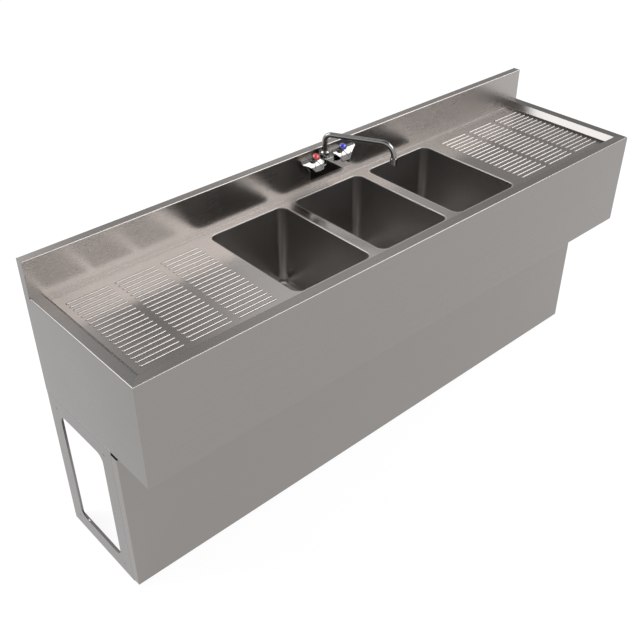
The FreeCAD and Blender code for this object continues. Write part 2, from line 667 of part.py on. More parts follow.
def make_nut(grip, base, axis):
    nut = hex_prism(BOLT_HEAD_FLATS, BOLT_NUT_HEIGHT, base + axis * grip, axis)
    return nut.cut(cylinder(BOLT_RADIUS, BOLT_NUT_HEIGHT + 2 * PAST,
                            base + axis * (grip - PAST), axis))


def frame_fasteners():
    """All frame bolts and nuts as (bolts, nuts)."""
    grip = SHEET + PANEL_SHEET
    bolts, nuts = [], []
    places = [(V(x, y, APRON_Z + SHEET), V(0, 0, -1)) for x, y in hem_bolt_axes()]
    places += [(V(x, PANEL_Y - SHEET, z), V(0, 1, 0)) for x, z in skirt_bolt_axes()]
    for base, axis in places:
        bolts.append(make_bolt(grip, base, axis))
        nuts.append(make_nut(grip, base, axis))
    return Part.makeCompound(bolts), Part.makeCompound(nuts)


# ================================================================ drains
STRAINER_TOP = DISH_Z + STRAINER_FLANGE_THICK
STRAINER_BOTTOM = STRAINER_TOP - STRAINER_LENGTH
LEDGE_Z = STRAINER_TOP - SCREEN_LEDGE_DEPTH
GASKET_TOP = DISH_Z - SHEET
FRICTION_TOP = GASKET_TOP - GASKET_THICK
LOCKNUT_TOP = FRICTION_TOP - FRICTION_THICK


def at_drain(shape, x):
    shape.translate(V(x, BOWL_CENTRE_Y, 0))
    return shape


def make_strainer_body(x):
    """Flanged cup with a ledge for the screen, threaded outside."""
    body = revolve([(STRAINER_BORE, STRAINER_BOTTOM), (STRAINER_RADIUS, STRAINER_BOTTOM),
                    (STRAINER_RADIUS, DISH_Z), (STRAINER_FLANGE_RADIUS, DISH_Z),
                    (STRAINER_FLANGE_RADIUS - STRAINER_FLANGE_BEVEL, STRAINER_TOP),
                    (SCREEN_LEDGE_RADIUS, STRAINER_TOP), (SCREEN_LEDGE_RADIUS, LEDGE_Z),
                    (STRAINER_BORE, LEDGE_Z)])
    return at_drain(body, x)


def make_crumb_strainer(x):
    """Perforated lift-out disc with a finger knob."""
    disc_radius = SCREEN_LEDGE_RADIUS - SCREEN_CLEARANCE
    top = LEDGE_Z + SCREEN_THICK
    disc = cylinder(disc_radius, SCREEN_THICK, V(0, 0, LEDGE_Z))
    knob = revolve([(0, top - SCREEN_THICK / 2), (SCREEN_STEM_RADIUS, top - SCREEN_THICK / 2),
                    (SCREEN_STEM_RADIUS, top + SCREEN_STEM_RISE),
                    (SCREEN_KNOB_RADIUS, top + SCREEN_KNOB_RISE - SCREEN_KNOB_BEVEL),
                    (SCREEN_KNOB_TOP_RADIUS, top + SCREEN_KNOB_RISE),
                    (0, top + SCREEN_KNOB_RISE)])
    disc = disc.fuse(knob)
    holes = []
    for ring_radius, count in SCREEN_HOLE_RINGS:
        for i in range(count):
            turn = 2 * math.pi * i / count
            holes.append(cylinder(SCREEN_HOLE_RADIUS, 3 * SCREEN_THICK,
                                  V(ring_radius * math.cos(turn), ring_radius * math.sin(turn),
                                    LEDGE_Z - SCREEN_THICK)))
    return at_drain(disc.cut(Part.makeCompound(holes)), x)


def make_drain_ring(x, radius, top, thick):
    """Flat ring round the strainer body."""
    return at_drain(cylinder(radius, thick, V(0, 0, top - thick)).cut(
        cylinder(STRAINER_RADIUS, thick + 2 * PAST, V(0, 0, top - thick - PAST))), x)


def make_drain_locknut(x):
    base = LOCKNUT_TOP - LOCKNUT_HEIGHT
    nut = hex_prism(LOCKNUT_FLATS, LOCKNUT_HEIGHT, V(0, 0, base))
    return at_drain(nut.cut(cylinder(STRAINER_RADIUS, LOCKNUT_HEIGHT + 2 * PAST,
                                     V(0, 0, base - PAST))), x)


def make_tailpiece(x):
    """Flanged tube that hangs from the strainer by its coupling nut."""
    top = STRAINER_BOTTOM
    seat = top - TAIL_FLANGE_THICK
    neck_z = seat - COUPLING_LIP - TAIL_NECK_BELOW
    neck = TAIL_RADIUS - TAIL_NECK_DEPTH
    tube = revolve([(TAIL_RADIUS - TAIL_WALL, top - TAIL_LENGTH),
                    (TAIL_RADIUS, top - TAIL_LENGTH), (TAIL_RADIUS, neck_z), (neck, neck_z),
                    (neck, seat), (STRAINER_RADIUS, seat), (STRAINER_RADIUS, top),
                    (TAIL_RADIUS - TAIL_WALL, top)])
    return at_drain(tube, x)


def make_coupling_nut(x):
    """Hex nut on the strainer thread; its lip holds up the tail flange."""
    bottom = STRAINER_BOTTOM - TAIL_FLANGE_THICK - COUPLING_LIP
    nut = hex_prism(COUPLING_FLATS, COUPLING_HEIGHT, V(0, 0, bottom))
    bore = cylinder(STRAINER_RADIUS, COUPLING_HEIGHT, V(0, 0, bottom + COUPLING_LIP))
    mouth = cylinder(TAIL_RADIUS + SNUG, COUPLING_HEIGHT, V(0, 0, bottom - PAST))
    return at_drain(nut.cut(bore).cut(mouth), x)


# ================================================================ faucet
def shank_z():
    return RIM_HEIGHT + FAUCET_ABOVE_RIM + FAUCET_HEIGHT / 2


FAUCET_Z = RIM_HEIGHT + FAUCET_ABOVE_RIM
FAUCET_TOP = FAUCET_Z + FAUCET_HEIGHT
RISER_Y = SPLASH_Y - RISER_FROM_SPLASH
SOCKET_Z = FAUCET_TOP - SOCKET_DEPTH
VALVE_Y = SPLASH_Y - VALVE_FROM_SPLASH
VALVE_Z = FAUCET_Z + VALVE_RISE
TILT = math.radians(STEM_TILT)
STEM_AXIS = V(0, -math.sin(TILT), math.cos(TILT))
VALVES = (("hot", -FAUCET_CENTRES / 2), ("cold", FAUCET_CENTRES / 2))
SHANK_END = BACK_Y - SHANK_TAIL


def on_stem(shape, x):
    """Place a shape made upright at the origin on a valve's stem axis."""
    shape.Placement = FreeCAD.Placement(V(x, VALVE_Y, VALVE_Z),
                                        FreeCAD.Rotation(V(1, 0, 0), STEM_TILT))
    return shape


def make_faucet_body():
    """Cast block with tilted shoulders, valve bosses and the spout socket."""
    block = box(-FAUCET_WIDTH / 2, FAUCET_WIDTH / 2, SPLASH_Y - FAUCET_DEPTH, SPLASH_Y,
                FAUCET_Z, FAUCET_TOP)
    for _, x in VALVES:
        side = math.copysign(1, x)
        inner = side * BRIDGE_HALF - x
        block = block.cut(on_stem(box(inner, side * FAUCET_WIDTH, -FAUCET_DEPTH, FAUCET_DEPTH,
                                      SHOULDER_AT, SHOULDER_AT + FAUCET_HEIGHT), x))
    soft = [e for e in block.Edges
            if not all(abs(v.Y - SPLASH_Y) < NEAR for v in e.Vertexes)]
    block = block.makeFillet(SHOULDER_EDGE, soft)
    bosses = [on_stem(cylinder(BOSS_RADIUS, BOSS_TOP, V(0, 0, 0)), x) for _, x in VALVES]
    body = block.multiFuse(bosses)
    for _, x in VALVES:
        seat = cylinder(CARTRIDGE_RADIUS, BOSS_TOP, V(0, 0, CARTRIDGE_BOTTOM))
        body = body.cut(on_stem(seat, x))
        body = body.cut(cylinder(SHANK_RADIUS, SHANK_INSERT + PAST,
                                 V(x, SPLASH_Y - SHANK_INSERT, shank_z()), V(0, 1, 0)))
    socket = cylinder(SPOUT_RADIUS + RUNNING_CLEARANCE, SOCKET_DEPTH + PAST,
                      V(0, RISER_Y, SOCKET_Z))
    return body.cut(socket)


def make_inlet_shank(x):
    y0 = SPLASH_Y - SHANK_INSERT
    shank = cylinder(SHANK_RADIUS, SHANK_END - y0, V(x, y0, shank_z()), V(0, 1, 0))
    nut_back = SPLASH_Y + SHEET + SHANK_WASHER_THICK + SHANK_NUT_HEIGHT
    relief_base = V(x, nut_back - SHANK_RELIEF / 2, shank_z())
    relief = cylinder(SHANK_RADIUS + PAST, SHANK_RELIEF, relief_base, V(0, 1, 0)).cut(
        cylinder(SHANK_RADIUS - SHANK_RELIEF_DEPTH, SHANK_RELIEF, relief_base, V(0, 1, 0)))
    shank = shank.cut(relief)
    return shank.cut(cylinder(SHANK_BORE, SHANK_END - y0 + 2 * PAST,
                              V(x, y0 - PAST, shank_z()), V(0, 1, 0)))


def make_shank_washer(x):
    y0 = SPLASH_Y + SHEET
    return cylinder(SHANK_WASHER_RADIUS, SHANK_WASHER_THICK, V(x, y0, shank_z()),
                    V(0, 1, 0)).cut(cylinder(SHANK_RADIUS, SHANK_WASHER_THICK + 2 * PAST,
                                             V(x, y0 - PAST, shank_z()), V(0, 1, 0)))


def make_shank_locknut(x):
    y0 = SPLASH_Y + SHEET + SHANK_WASHER_THICK
    nut = hex_prism(SHANK_NUT_FLATS, SHANK_NUT_HEIGHT, V(x, y0, shank_z()), V(0, 1, 0))
    return nut.cut(cylinder(SHANK_RADIUS, SHANK_NUT_HEIGHT + 2 * PAST,
                            V(x, y0 - PAST, shank_z()), V(0, 1, 0)))


def make_valve_bonnet(x):
    """Cartridge barrel in the boss with a hex head above it."""
    barrel = cylinder(CARTRIDGE_RADIUS, BOSS_TOP - CARTRIDGE_BOTTOM,
                      V(0, 0, CARTRIDGE_BOTTOM))
    head = hex_prism(BONNET_FLATS, BONNET_TOP - BOSS_TOP, V(0, 0, BOSS_TOP))
    bore = cylinder(STEM_RADIUS + RUNNING_CLEARANCE, BONNET_TOP,
                    V(0, 0, CARTRIDGE_BOTTOM - PAST))
    return on_stem(barrel.fuse(head).cut(bore), x)


def make_valve_stem(x):
    """Stem with a tapped hole for the handle screw."""
    bottom = CARTRIDGE_BOTTOM + HANDLE_GAP
    stem = cylinder(STEM_RADIUS, STEM_TOP - bottom, V(0, 0, bottom))
    hole_from = STEM_TOP + HANDLE_WEB - SCREW_LENGTH
    hole = cylinder(SCREW_RADIUS, STEM_TOP - hole_from + PAST, V(0, 0, hole_from))
    return on_stem(stem.cut(hole), x)


def bowed(start, end, bow):
    """Arc from start to end that leaves their chord by bow, to the left."""
    run = end - start
    side = V(-run.y, run.x, 0).normalize()
    return Part.Arc(start, (start + end) * 0.5 + side * bow, end).toShape()


def canopy_plan(inset):
    """Plan of the canopy, outer blade towards -X, as an upright prism."""
    half = BLADE_HALF - inset
    outer, inner = OUTER_BLADE_REACH - inset, INNER_BLADE_REACH - inset
    front, wing = FRONT_WING_REACH - inset, FRONT_WING_HALF - inset
    spots = [V(-outer, half, 0), V(-outer, -half, 0), V(-wing, -front, 0), V(wing, -front, 0),
             V(inner, -half, 0), V(inner, half, 0)]
    edges = [bowed(spots[0], spots[1], -half / 2), bowed(spots[1], spots[2], CANOPY_HOLLOW),
             bowed(spots[2], spots[3], -CANOPY_HOLLOW / 2),
             bowed(spots[3], spots[4], CANOPY_HOLLOW), bowed(spots[4], spots[5], -half / 2),
             Part.LineSegment(spots[5], spots[0]).toShape()]
    return Part.Face(Part.Wire(edges)).extrude(V(0, 0, HANDLE_TOP))


def canopy_ribs():
    """Two upright bars from the stem axis to the corners of the front wing."""
    angle = math.degrees(math.atan2(FRONT_WING_HALF, FRONT_WING_REACH))
    bars = []
    for turn in (-angle, angle):
        bar = box(-CANOPY_RIM / 2, CANOPY_RIM / 2, 0, -2 * FRONT_WING_REACH, 0, HANDLE_TOP)
        bar.rotate(V(0, 0, 0), V(0, 0, 1), turn)
        bars.append(bar)
    return Part.makeCompound(bars)


def canopy_band(lift, thick):
    """Sheet bent down towards the front, its top raised by lift."""
    back = V(0, 2 * BLADE_HALF, CANOPY_BACK + lift)
    crest = V(0, 0, CANOPY_CREST + lift)
    low = V(0, -FRONT_WING_REACH - CANOPY_OVERRUN, CANOPY_FRONT + lift)
    down = V(0, 0, -thick)
    edges = [Part.Arc(back, crest, low).toShape(), Part.LineSegment(low, low + down).toShape(),
             Part.Arc(low + down, crest + down, back + down).toShape(),
             Part.LineSegment(back + down, back).toShape()]
    reach = 2 * OUTER_BLADE_REACH
    band = Part.Face(Part.Wire(edges)).extrude(V(2 * reach, 0, 0))
    band.translate(V(-reach, 0, 0))
    return band


def make_handle():
    """Hot handle upright at the origin: waisted hub and draped canopy."""
    skirt_z = BONNET_TOP + HANDLE_GAP
    seat_z = HANDLE_TOP - BUTTON_SEAT
    low = V(HANDLE_SKIRT_RADIUS, 0, skirt_z + HANDLE_SKIRT_HEIGHT)
    high = V(HANDLE_TOP_RADIUS, 0, HANDLE_TOP - HANDLE_TOP_BAND)
    spots = [low, V(HANDLE_SKIRT_RADIUS, 0, skirt_z), V(0, 0, skirt_z), V(0, 0, HANDLE_TOP),
             V(HANDLE_TOP_RADIUS, 0, HANDLE_TOP), high]
    edges = [Part.LineSegment(a, b).toShape() for a, b in zip(spots, spots[1:])]
    edges.append(Part.Arc(high, V(HANDLE_NECK_RADIUS, 0, HANDLE_NECK_AT), low).toShape())
    hub = Part.Face(Part.Wire(edges)).revolve(V(0, 0, 0), V(0, 0, 1), 360)
    canopy = canopy_band(0.0, CANOPY_THICK).common(canopy_plan(0.0))
    recess = canopy_band(CANOPY_THICK, CANOPY_THICK + CANOPY_RECESS).common(
        canopy_plan(CANOPY_RIM)).cut(canopy_ribs())
    handle = hub.fuse(canopy.cut(recess))
    web_top = STEM_TOP + HANDLE_WEB
    handle = handle.cut(cylinder(STEM_RADIUS + SNUG, STEM_TOP + SNUG - skirt_z + PAST,
                                 V(0, 0, skirt_z - PAST)))
    handle = handle.cut(cylinder(SCREW_RADIUS + SNUG, HANDLE_TOP, V(0, 0, skirt_z)))
    handle = handle.cut(cylinder(POCKET_RADIUS, HANDLE_TOP, V(0, 0, web_top)))
    return handle.cut(cylinder(BUTTON_RADIUS + SNUG, BUTTON_SEAT + PAST, V(0, 0, seat_z)))


def make_handle_screw(x):
    seat_z = STEM_TOP + HANDLE_WEB
    head = cylinder(SCREW_HEAD_RADIUS, SCREW_HEAD_HEIGHT, V(0, 0, seat_z))
    shank = cylinder(SCREW_RADIUS, SCREW_LENGTH, V(0, 0, seat_z - SCREW_LENGTH))
    head_top = seat_z + SCREW_HEAD_HEIGHT
    slot = box(-SCREW_HEAD_RADIUS, SCREW_HEAD_RADIUS, -SCREW_SLOT / 2, SCREW_SLOT / 2,
               head_top - SCREW_SLOT, head_top)
    return on_stem(head.fuse(shank).cut(slot), x)


def make_index_button(x):
    """Domed colour button seated in the top of the handle."""
    seat_z = HANDLE_TOP - BUTTON_SEAT
    dome_radius = (BUTTON_RADIUS ** 2 + BUTTON_DOME ** 2) / (2 * BUTTON_DOME)
    centre_z = HANDLE_TOP + BUTTON_DOME - dome_radius
    rise = math.asin(BUTTON_RADIUS / dome_radius) / 2
    start, mid = V(BUTTON_RADIUS, 0, HANDLE_TOP), V(dome_radius * math.sin(rise), 0,
                                                    centre_z + dome_radius * math.cos(rise))
    top = V(0, 0, HANDLE_TOP + BUTTON_DOME)
    lines = [Part.LineSegment(V(0, 0, seat_z), V(BUTTON_RADIUS, 0, seat_z)).toShape(),
             Part.LineSegment(V(BUTTON_RADIUS, 0, seat_z), start).toShape(),
             Part.Arc(start, mid, top).toShape(),
             Part.LineSegment(top, V(0, 0, seat_z)).toShape()]
    return on_stem(Part.Face(Part.Wire(lines)).revolve(V(0, 0, 0), V(0, 0, 1), 360), x)


def make_spout_nut():
    """Knurled collar nut round the riser."""
    bore = SPOUT_RADIUS + RUNNING_CLEARANCE
    nut_top = FAUCET_TOP + SPOUT_NUT_HEIGHT
    nut = revolve([(bore, FAUCET_TOP), (SPOUT_NUT_RADIUS, FAUCET_TOP),
                   (SPOUT_NUT_RADIUS, nut_top - SPOUT_NUT_TAPER),
                   (SPOUT_NUT_TOP_RADIUS, nut_top), (bore, nut_top)])
    grooves = []
    for i in range(SPOUT_NUT_GROOVES):
        turn = 2 * math.pi * i / SPOUT_NUT_GROOVES
        spot = V(SPOUT_NUT_RADIUS * math.cos(turn), SPOUT_NUT_RADIUS * math.sin(turn),
                 FAUCET_TOP + SPOUT_NUT_GROOVE_FROM)
        grooves.append(cylinder(SPOUT_NUT_GROOVE_RADIUS,
                                SPOUT_NUT_GROOVE_TO - SPOUT_NUT_GROOVE_FROM, spot))
    nut = nut.cut(Part.makeCompound(grooves))
    nut.translate(V(0, RISER_Y, 0))
    return nut


def spout_path():
    """Riser, inner bend, level arm and outer bend, in the XZ plane."""
    bottom = SOCKET_Z + SOCKET_FLOOR_GAP
    arm_z = FAUCET_TOP + SPOUT_RISE
    half = math.sqrt(0.5)
    r1, r2 = SPOUT_INNER_BEND, SPOUT_OUTER_BEND
    a = V(0, 0, bottom)
    b = V(0, 0, arm_z - r1)
    b_mid = V(r1 - r1 * half, 0, arm_z - r1 + r1 * half)
    c = V(r1, 0, arm_z)
    d = V(SPOUT_REACH - r2, 0, arm_z)
    d_mid = V(SPOUT_REACH - r2 + r2 * half, 0, arm_z - r2 + r2 * half)
    e = V(SPOUT_REACH, 0, arm_z - r2)
    f = V(SPOUT_REACH, 0, arm_z - r2 - SPOUT_DROP - AERATOR_OVERLAP)
    return Part.Wire([Part.LineSegment(a, b).toShape(), Part.Arc(b, b_mid, c).toShape(),
                      Part.LineSegment(c, d).toShape(), Part.Arc(d, d_mid, e).toShape(),
                      Part.LineSegment(e, f).toShape()])


def swing(shape):
    """Turn a shape made in the XZ plane to the spout's rest direction."""
    shape.rotate(V(0, 0, 0), V(0, 0, 1), SPOUT_ANGLE)
    shape.translate(V(0, RISER_Y, 0))
    return shape


def make_spout_tube():
    bottom = V(0, 0, SOCKET_Z + SOCKET_FLOOR_GAP)
    tubes = []
    for radius in (SPOUT_RADIUS, SPOUT_RADIUS - SPOUT_WALL):
        ring = Part.Wire(Part.Circle(bottom, V(0, 0, 1), radius).toShape())
        tubes.append(spout_path().makePipeShell([ring], True, False))
    tube = tubes[0].cut(tubes[1])
    groove_z = bottom.z + SEAL_RISE
    groove = cylinder(SPOUT_RADIUS + PAST, SEAL_HEIGHT, V(0, 0, groove_z)).cut(
        cylinder(SEAL_GROOVE_RADIUS, SEAL_HEIGHT, V(0, 0, groove_z)))
    return swing(tube.cut(groove))


def make_spout_seal():
    z = SOCKET_Z + SOCKET_FLOOR_GAP + SEAL_RISE
    return swing(cylinder(SPOUT_RADIUS, SEAL_HEIGHT, V(0, 0, z)).cut(
        cylinder(SEAL_GROOVE_RADIUS, SEAL_HEIGHT, V(0, 0, z))))


AERATOR_TOP = FAUCET_TOP + SPOUT_RISE - SPOUT_OUTER_BEND - SPOUT_DROP
AERATOR_BOTTOM = AERATOR_TOP - AERATOR_HEIGHT


def make_aerator_housing():
    """Cup screwed on to the end of the spout."""
    overlap_z = AERATOR_TOP - AERATOR_OVERLAP
    cup = revolve([(AERATOR_BORE, AERATOR_BOTTOM), (AERATOR_RADIUS, AERATOR_BOTTOM),
                   (AERATOR_RADIUS, AERATOR_TOP - AERATOR_BEVEL),
                   (AERATOR_RADIUS - AERATOR_BEVEL, AERATOR_TOP),
                   (SPOUT_RADIUS, AERATOR_TOP), (SPOUT_RADIUS, overlap_z),
                   (SPOUT_RADIUS - SPOUT_WALL, overlap_z),
                   (SPOUT_RADIUS - SPOUT_WALL, overlap_z - AERATOR_STOP),
                   (AERATOR_BORE, overlap_z - AERATOR_STOP)])
    cup.translate(V(SPOUT_REACH, 0, 0))
    return swing(cup)


def make_aerator_insert():
    """Perforated disc in the mouth of the aerator."""
    z = AERATOR_BOTTOM + AERATOR_DISC_LIFT
    disc = cylinder(AERATOR_BORE, AERATOR_DISC_THICK, V(0, 0, z))
    holes = []
    for ring_radius, count in AERATOR_HOLE_RINGS:
        for i in range(count):
            turn = 2 * math.pi * i / count
            spot = V(ring_radius * math.cos(turn), ring_radius * math.sin(turn), z - PAST)
            holes.append(cylinder(AERATOR_HOLE_RADIUS, AERATOR_DISC_THICK + 2 * PAST, spot))
    disc = disc.cut(Part.makeCompound(holes))
    disc.translate(V(SPOUT_REACH, 0, 0))
    return swing(disc)


# ================================================================ write parts
def save_top():
    save("front_apron", make_front_apron())
    end_apron = drill_hem_bolts(make_end_apron())
    save("end_apron_left", end_apron)
    save("end_apron_right", mirrored(end_apron))
    save("backsplash", make_backsplash())
    save("bowl_deck", make_bowl_deck())
    for name, side in SIDES:
        save("drainboard_" + name, make_drainboard(side))
    for name, x in zip(BOWL_NAMES, BOWL_CENTRES_X):
        save("bowl_" + name, make_bowl(x))
    save("rear_rail", make_rear_rail())
    for number, x in enumerate(CHANNEL_CENTRES, 1):
        save("deck_channel_" + str(number), make_deck_channel(x))
    save("apron_corner_braces", make_corner_braces())


def save_frame():
    panel = make_end_panel()
    plates = make_corner_plates()
    rivets = [make_rivet(y, z) for y, z in rivet_spots()]
    save("end_panel_left", panel)
    save("end_panel_right", mirrored(panel))
    save("corner_plates_left", Part.makeCompound(plates))
    save("corner_plates_right", Part.makeCompound([mirrored(p) for p in plates]))
    save("panel_rivets_left", Part.makeCompound(rivets))
    save("panel_rivets_right", Part.makeCompound([mirrored(r) for r in rivets]))
    save("front_skirt", make_front_skirt())
    bolts, nuts = frame_fasteners()
    save("frame_bolts", bolts)
    save("frame_nuts", nuts)


def save_drains():
    for name, x in zip(BOWL_NAMES, BOWL_CENTRES_X):
        save("strainer_body_" + name, make_strainer_body(x))
        save("crumb_strainer_" + name, make_crumb_strainer(x))
        save("tailpiece_" + name, make_tailpiece(x))
    save("drain_gaskets", Part.makeCompound(
        [make_drain_ring(x, GASKET_RADIUS, GASKET_TOP, GASKET_THICK) for x in BOWL_CENTRES_X]))
    save("drain_friction_washers", Part.makeCompound(
        [make_drain_ring(x, GASKET_RADIUS, FRICTION_TOP, FRICTION_THICK)
         for x in BOWL_CENTRES_X]))
    save("drain_locknuts", Part.makeCompound([make_drain_locknut(x) for x in BOWL_CENTRES_X]))
    save("coupling_nuts", Part.makeCompound([make_coupling_nut(x) for x in BOWL_CENTRES_X]))


def save_faucet():
    save("faucet_body", make_faucet_body())
    centres = [x for _, x in VALVES]
    save("inlet_shanks", Part.makeCompound([make_inlet_shank(x) for x in centres]))
    save("shank_washers", Part.makeCompound([make_shank_washer(x) for x in centres]))
    save("shank_locknuts", Part.makeCompound([make_shank_locknut(x) for x in centres]))
    for name, x in VALVES:
        save("valve_bonnet_" + name, make_valve_bonnet(x))
        save("valve_stem_" + name, make_valve_stem(x))
        handle = make_handle() if name == "hot" else mirrored(make_handle())
        save("handle_" + name, on_stem(handle, x))
        save("handle_screw_" + name, make_handle_screw(x))
        save("index_button_" + name, make_index_button(x))
    save("spout_nut", make_spout_nut())
    save("spout_tube", make_spout_tube())
    save("spout_seal", make_spout_seal())
    save("aerator_housing", make_aerator_housing())
    save("aerator_insert", make_aerator_insert())


save_top()
save_frame()
save_drains()
save_faucet()
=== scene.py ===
"""Underbar sink: brushed stainless sheet, chrome faucet, coloured index buttons."""
import bpy
import math
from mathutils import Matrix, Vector

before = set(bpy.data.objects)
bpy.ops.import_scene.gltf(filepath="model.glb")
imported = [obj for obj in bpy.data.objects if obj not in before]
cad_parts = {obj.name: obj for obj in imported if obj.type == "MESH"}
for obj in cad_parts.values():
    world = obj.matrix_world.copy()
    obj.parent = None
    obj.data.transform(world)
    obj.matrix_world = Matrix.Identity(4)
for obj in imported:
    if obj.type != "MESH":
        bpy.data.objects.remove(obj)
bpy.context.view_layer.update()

MM = 0.001

# ---------------------------------------------------------------- the photograph's view
CAMERA_SPOT = (-1.5609, -1.5123, 1.9263)
CAMERA_YAW = 42.25                     # degrees from +Y towards +X
CAMERA_DROP = 35.68                    # degrees below the horizon
CAMERA_LENS = 49.9
SENSOR = 36.0

# ---------------------------------------------------------------- studio
FLOOR_HALF = 30.0
FLOOR_GLOW = 0.88                      # floor as the camera and mirrors see it
FLOOR_CATCH = 0.16                     # how strongly it shows the shadow
FLOOR_COLOUR = (0.80, 0.80, 0.80)
AMBIENT = 0.50                         # world light on matt surfaces

# Parts of the studio that metal mirrors: azimuth from +Y towards +X, elevation,
# half angle of its even middle and of its faded rim (degrees), and light added.
STUDIO_LEVEL = 1.0
STUDIO_ZONES = (
    (0.0, 90.0, 28.0, 48.0, -0.88),    # unlit ceiling
    (42.0, 18.0, 20.0, 32.0, -0.60),   # unlit side, behind on the right
    (26.0, 22.0, 4.0, 9.0, -0.20),     # its darkest part
    (30.0, 36.5, 2.5, 6.5, -0.34),     # gap between the lamps behind
    (28.0, 29.0, 1.5, 5.0, 0.50),      # strip light behind, low
    (16.0, 34.0, 3.0, 8.0, 1.30),      # strip light behind, fading to the right
    (43.0, 34.0, 5.0, 11.0, 0.70),     # its weaker end
)

# Lamps: name, azimuth, elevation, distance and size (metres), radiance.
SOFTBOXES = (
    ("right_panel", 136.0, 40.0, 6.0, (6.6, 2.9), 4.2),
    ("left_panel", -40.0, 40.0, 6.0, (5.0, 4.4), 3.6),
    ("overhead", 20.0, 80.0, 2.6, (1.8, 0.4), 2.5),
)
LAMP_AIM = Vector((0.0, 0.0, 0.75))    # middle of the deck

# ---------------------------------------------------------------- colours
STEEL = (0.272, 0.256, 0.245)
# the same sheet steel made darker for the end faces: painted shade
SHADED_END_STEEL = (0.230, 0.220, 0.213)
# the same sheet steel made lighter for the deck and splash: painted light
LIT_DECK_STEEL = (0.360, 0.338, 0.324)
# the same steel made lighter for the bowls' insides: painted light
LIT_BOWL_STEEL = (0.42, 0.405, 0.393)
# chrome made dark to show the dark surroundings it mirrors: painted dark reflection
DARKENED_CHROME = (0.24, 0.235, 0.230)
ZINC = (0.30, 0.30, 0.30)
RIVET = (0.13, 0.13, 0.13)
BRASS = (0.52, 0.40, 0.20)
TAIL_PLATING = (0.48, 0.42, 0.30)
BLACK_RUBBER = (0.02, 0.02, 0.02)
RED_FIBRE = (0.16, 0.05, 0.03)
AERATOR_PLASTIC = (0.60, 0.60, 0.56)
BUTTON_RED = (0.62, 0.012, 0.012)
BUTTON_BLUE = (0.018, 0.022, 0.58)

# ---------------------------------------------------------------- finishes
EVEN = (1.0, 1.0, 1.0)                 # noise that is the same along all axes
GRAIN_ALONG, GRAIN_ACROSS = 1.5, 260.0 # brush strokes: long along, fine across
GRAIN_SKEW = 0.04                      # keeps the grain off every face's normal
GRAIN_TURN = 0.25                      # turn of the highlight, so it lies across the grain
SHEET_EDGE = 1.2 * MM                  # width of the worn edges, whose colour is also lightened as a painted highlight
BOWL_EDGE = 2.0 * MM
SMALL_EDGE = 0.8 * MM                  # on fittings and turned pieces
EDGE_FLAT, EDGE_SHARP = 0.995, 0.90    # normals' agreement with no edge lift and with full edge lift
WORN_SMOOTHER = 0.08                   # roughness that brushed sheet loses on worn edges


# ================================================================ node materials
def start_material(name):
    """New node material: returns it, its tree and its Principled shader."""
    material = bpy.data.materials.new(name)
    material.use_nodes = True
    tree = material.node_tree
    return material, tree, tree.nodes["Principled BSDF"]


def object_coordinates(tree, scale):
    """Object coordinates in metres, stretched by scale."""
    source = tree.nodes.new("ShaderNodeTexCoord")
    mapping = tree.nodes.new("ShaderNodeMapping")
    mapping.inputs["Scale"].default_value = scale
    tree.links.new(source.outputs["Object"], mapping.inputs["Vector"])
    return mapping.outputs["Vector"]


def noise(tree, vector, scale, detail=3.0, roughness=0.5):
    """Noise value, mostly between 0.3 and 0.7."""
    node = tree.nodes.new("ShaderNodeTexNoise")
    node.inputs["Scale"].default_value = scale
    node.inputs["Detail"].default_value = detail
    node.inputs["Roughness"].default_value = roughness
    tree.links.new(vector, node.inputs["Vector"])
    return node.outputs["Fac"]


def spread(tree, value, low, high, from_low=0.3, from_high=0.7):
    """Value remapped from a noise's usual span to low..high."""
    node = tree.nodes.new("ShaderNodeMapRange")
    node.inputs["From Min"].default_value = from_low
    node.inputs["From Max"].default_value = from_high
    node.inputs["To Min"].default_value = low
    node.inputs["To Max"].default_value = high
    tree.links.new(value, node.inputs["Value"])
    return node.outputs["Result"]


def combine(tree, operation, first, second):
    """Two values, or a value and a number, through one Math node."""
    node = tree.nodes.new("ShaderNodeMath")
    node.operation = operation
    for socket, item in zip(node.inputs, (first, second)):
        if isinstance(item, (int, float)):
            socket.default_value = item
        else:
            tree.links.new(item, socket)
    return node.outputs["Value"]


def tinted(tree, colour, factor):
    """Colour scaled by a factor that varies over the surface."""
    node = tree.nodes.new("ShaderNodeMix")
    node.data_type = "RGBA"
    node.blend_type = "MULTIPLY"
    node.inputs["Factor"].default_value = 1.0
    node.inputs["A"].default_value = (*colour, 1.0)
    grey = tree.nodes.new("ShaderNodeCombineColor")
    for channel in grey.inputs:
        tree.links.new(factor, channel)
    tree.links.new(grey.outputs["Color"], node.inputs["B"])
    return node.outputs["Result"]


def edge_wear_and_sheen(tree, radius):
    """Zero on flat faces, rising to one on edges and corners: rubbed wear, and a painted
    highlight where it lightens colour.
    """
    bevel = tree.nodes.new("ShaderNodeBevel")
    bevel.samples = 4
    bevel.inputs["Radius"].default_value = radius
    geometry = tree.nodes.new("ShaderNodeNewGeometry")
    dot = tree.nodes.new("ShaderNodeVectorMath")
    dot.operation = "DOT_PRODUCT"
    tree.links.new(bevel.outputs["Normal"], dot.inputs[0])
    tree.links.new(geometry.outputs["Normal"], dot.inputs[1])
    return spread(tree, dot.outputs["Value"], 0.0, 1.0, EDGE_FLAT, EDGE_SHARP)


def lightened_by_wear_and_sheen(tree, shade, wear_and_sheen, gain):
    """Shade with edges lighter by up to gain: partly rubbed wear, partly a painted highlight."""
    return combine(tree, "ADD", shade, combine(tree, "MULTIPLY", wear_and_sheen, gain))


def bump(tree, height, strength, distance):
    """Shading normal from a height; distance in metres."""
    node = tree.nodes.new("ShaderNodeBump")
    node.inputs["Strength"].default_value = strength
    node.inputs["Distance"].default_value = distance
    tree.links.new(height, node.inputs["Height"])
    return node.outputs["Normal"]


